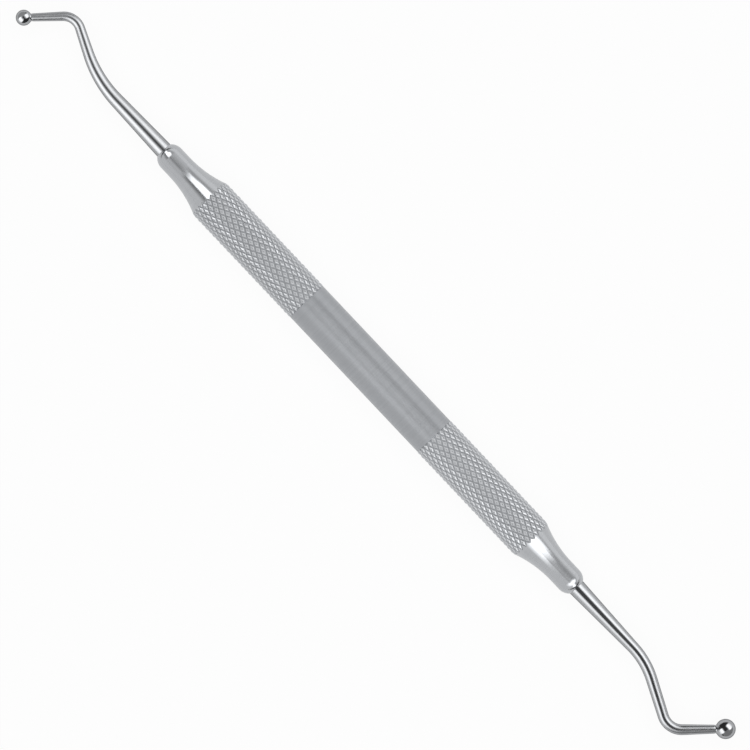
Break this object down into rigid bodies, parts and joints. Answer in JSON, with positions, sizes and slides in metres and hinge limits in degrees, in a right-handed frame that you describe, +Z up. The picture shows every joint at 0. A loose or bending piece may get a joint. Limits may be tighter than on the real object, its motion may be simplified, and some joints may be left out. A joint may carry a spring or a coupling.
{
  "type": "dental burnisher",
  "caption": "Double-ended dental ball burnisher: a hollow diamond-knurled handle with concave cones, and bent tapering shanks that end in a small and a large ball.",
  "frame": {"origin": "middle of the handle, on its axis", "axes": "+X along the handle towards the large ball, +Y in the plane of the bends, to the side where the small ball end's knee is, +Z up from the surface that the instrument lies on"},
  "size_m": [0.1762, 0.0108, 0.008],
  "materials": {
    "satin_steel": "satin, fine matt grain, knurled grips",
    "polished_steel": "mirror polished stainless steel"
  },
  "bodies": {
    "root": {"handle": "satin_steel", "small_ball_end": "polished_steel", "large_ball_end": "polished_steel"}
  },
  "joints": []
}
